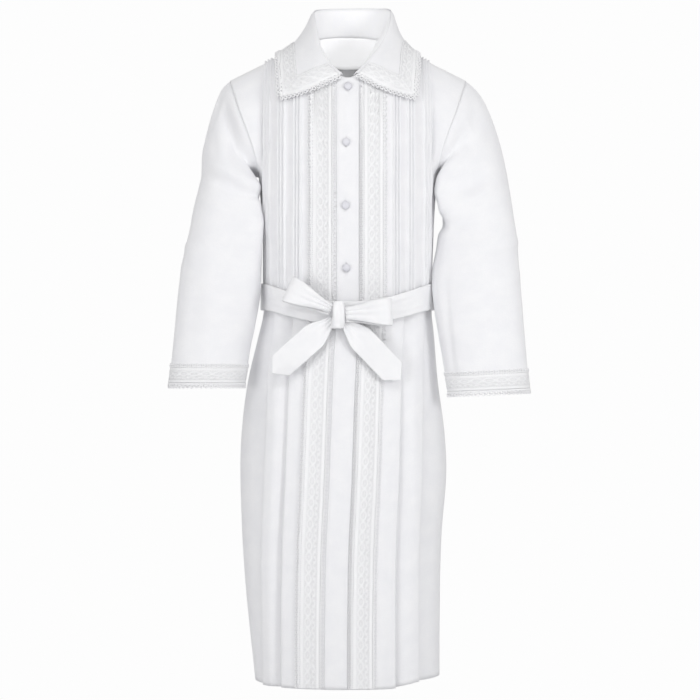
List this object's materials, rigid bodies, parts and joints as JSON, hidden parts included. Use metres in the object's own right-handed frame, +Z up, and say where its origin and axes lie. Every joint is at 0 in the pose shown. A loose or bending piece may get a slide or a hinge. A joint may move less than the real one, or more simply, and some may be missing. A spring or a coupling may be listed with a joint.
{
  "type": "kittel",
  "caption": "White calf-length robe filled out as worn, hollow, with pin-tucked front, pleated skirt, lace trim, turned-down collar, covered buttons and a tied sash.",
  "frame": {"origin": "centre of the neck opening, level with the points where the shoulder seams meet the collar", "axes": "+Z up, -Y the robe's front, +X the wearer's left"},
  "size_m": [0.6668, 0.2812, 1.2733],
  "materials": {
    "cloth": "smooth cotton",
    "lace": "cotton lace",
    "satin": "soft satin"
  },
  "bodies": {
    "root": {"front_right": "cloth", "front_left": "cloth", "back": "cloth", "neck_facing": "cloth", "band_bodice": "cloth", "skirt_right": "cloth", "skirt_left": "cloth", "skirt_back": "cloth", "band_skirt": "cloth", "sleeve_right": "cloth", "sleeve_left": "cloth", "collar_stand": "cloth", "collar_leaf": "cloth", "lace_bodice_right": "lace", "lace_bodice_left": "lace", "lace_skirt_right": "lace", "lace_skirt_left": "lace", "lace_cuff_right": "lace", "lace_cuff_left": "lace", "lace_collar": "lace", "belt": "satin", "bow_knot": "satin", "bow_loop_right": "satin", "bow_loop_left": "satin", "bow_tail_right": "satin", "bow_tail_left": "satin", "button_1": "satin", "button_2": "satin", "button_3": "satin", "button_4": "satin"}
  },
  "joints": []
}
